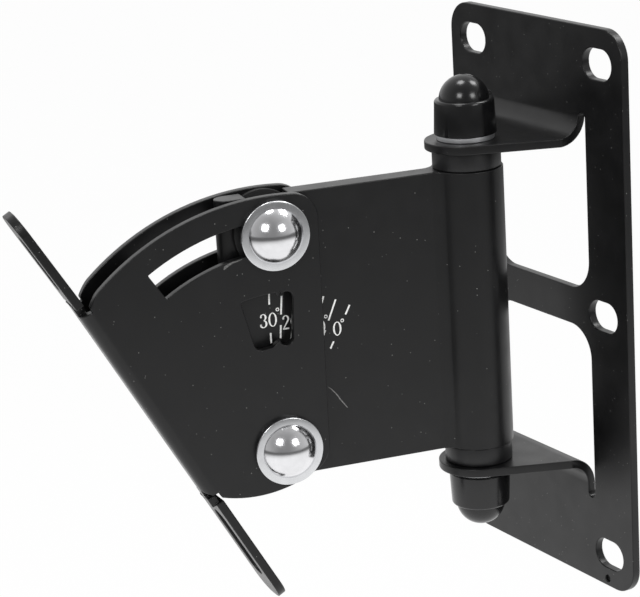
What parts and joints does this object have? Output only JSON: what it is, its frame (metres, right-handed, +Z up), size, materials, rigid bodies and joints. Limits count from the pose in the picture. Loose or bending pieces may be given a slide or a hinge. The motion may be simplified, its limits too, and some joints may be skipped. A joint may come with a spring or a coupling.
{
  "type": "speaker wall bracket",
  "caption": "Black steel speaker wall bracket with a slotted wall plate, a swivelling folded arm and a tilting channel head clamped in an arc slot.",
  "frame": {"origin": "middle of the back face of the wall plate", "axes": "+Y into the wall, +Z up, the bracket reaches out towards -Y and +X is to the right seen from the front"},
  "size_m": [0.1, 0.1906, 0.2004],
  "materials": {
    "coated_plate": "satin black powder coat",
    "coated_arm": "satin black powder coat",
    "coated_head": "satin black powder coat",
    "black_plastic": "glossy black plastic",
    "bush_plastic": "satin black plastic",
    "polished_steel": "polished bright",
    "zinc_steel": "bright zinc plate",
    "liner_plastic": "dull black plastic"
  },
  "bodies": {
    "wall_mount": {"wall_plate": "coated_plate", "swivel_bolt": "zinc_steel", "swivel_nut": "zinc_steel", "upper_swivel_washer": "zinc_steel", "lower_swivel_washer": "zinc_steel", "upper_cap": "black_plastic", "lower_cap": "black_plastic"},
    "swivel_arm": {"arm": "coated_arm", "upper_bush": "bush_plastic", "lower_bush": "bush_plastic", "clamp_bolt": "polished_steel", "pivot_bolt": "polished_steel", "clamp_near_washer": "zinc_steel", "clamp_far_washer": "zinc_steel", "pivot_near_washer": "zinc_steel", "pivot_far_washer": "zinc_steel", "clamp_near_liner": "liner_plastic", "clamp_far_liner": "liner_plastic", "pivot_near_liner": "liner_plastic", "pivot_far_liner": "liner_plastic", "notch_sleeve": "zinc_steel", "clamp_spring_washer": "zinc_steel", "pivot_spring_washer": "zinc_steel", "clamp_nut": "zinc_steel", "pivot_nut": "zinc_steel"},
    "tilt_head": {"head": "coated_head"}
  },
  "joints": [
    {"name": "swivel", "type": "hinge", "parent": "wall_mount", "child": "swivel_arm", "pos_m": [0, -0.0321, 0.0024], "axis": [0, 0, 1], "range_deg": [-63, 87]},
    {"name": "tilt", "type": "hinge", "parent": "swivel_arm", "child": "tilt_head", "pos_m": [-0.01524, -0.1038, -0.0362], "axis": [0.9781, -0.2079, 0], "range_deg": [-28.5, 1.5]}
  ]
}
